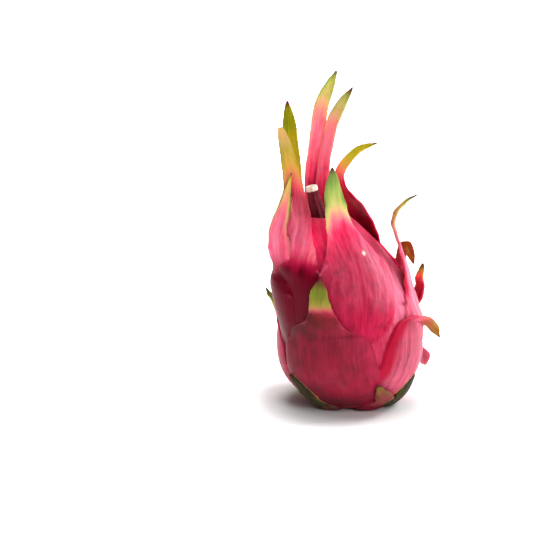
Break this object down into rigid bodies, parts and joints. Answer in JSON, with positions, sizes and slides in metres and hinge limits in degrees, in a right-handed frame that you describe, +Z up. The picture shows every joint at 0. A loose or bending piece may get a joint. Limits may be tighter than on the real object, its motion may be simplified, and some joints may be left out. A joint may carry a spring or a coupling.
{
  "type": "dragon fruit",
  "caption": "Whole red-skinned dragon fruit standing on its stem end, with leafy scales, tall crown blades and a cut dried flower stub.",
  "frame": {"origin": "on the surface it stands on, under the middle of the whole fruit's box; the foot's own middle is 1.5 mm left of it and 3.3 mm in front of it", "axes": "+Z up along the fruit from its stem end to its crown, -Y its front, +X its right as seen from the front"},
  "size_m": [0.1021, 0.0926, 0.1927],
  "materials": {
    "skin": "smooth waxy fruit skin, pink to crimson, scales turning green and tan towards their tips",
    "dried_flower": "withered dark maroon, cut across to show a cream face",
    "wood": "dry, matt"
  },
  "bodies": {
    "root": {"fruit": "skin", "flower_stub": "dried_flower", "stem_scar": "wood"}
  },
  "joints": []
}
